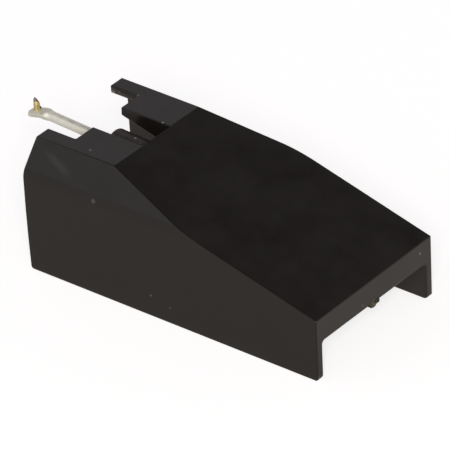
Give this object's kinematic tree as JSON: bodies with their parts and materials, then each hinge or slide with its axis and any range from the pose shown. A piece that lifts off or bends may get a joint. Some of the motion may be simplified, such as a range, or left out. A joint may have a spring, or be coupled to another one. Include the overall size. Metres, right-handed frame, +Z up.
{
  "type": "phono stylus assembly",
  "caption": "Replacement stylus assembly for a moving-magnet phono cartridge: black slide-on holder with a slotted, bevelled nose, a sprung tubular cantilever and its bonded tip.",
  "frame": {"origin": "on the surface that the part rests on, under the middle of the whole part, cantilever included", "axes": "+X from the stylus tip to the open rear end of the holder, +Y across the holder, +Z up, the way the tip points while the part lies upside down"},
  "size_m": [0.0248, 0.011, 0.0081],
  "materials": {
    "holder_plastic": "satin moulded black",
    "sleeve_plastic": "satin black",
    "damper_rubber": "matt black",
    "cantilever_aluminium": "drawn, bright",
    "magnet_alloy": "ground, dull grey",
    "bush_brass": "turned",
    "wire_steel": "drawn",
    "shank_gilt": "gold-coloured, bright",
    "tip_diamond": "polished, brown-grey",
    "glue_resin": "cured resin, dark greenish"
  },
  "bodies": {
    "holder_body": {"holder": "holder_plastic", "sleeve": "sleeve_plastic", "wire_anchor": "bush_brass", "tie_wire": "wire_steel"},
    "suspension": {"damper": "damper_rubber"},
    "stylus_arm": {"cantilever": "cantilever_aluminium", "magnet": "magnet_alloy", "wire_bush": "bush_brass", "stylus_shank": "shank_gilt", "stylus_tip": "tip_diamond", "glue_bead": "glue_resin"}
  },
  "joints": [
    {"name": "arm_up_down", "type": "hinge", "parent": "holder_body", "child": "suspension", "pos_m": [-0.0055, 0, 0.00638], "axis": [0, 1, 0], "range_deg": [-3, 3], "stiffness_Nm_per_rad": 0.0028, "deforming": ["damper"]},
    {"name": "arm_side_to_side", "type": "hinge", "parent": "suspension", "child": "stylus_arm", "pos_m": [-0.0055, 0, 0.00638], "axis": [0.0541, 0, 0.9985], "range_deg": [-3, 3], "stiffness_Nm_per_rad": 0.0028}
  ]
}
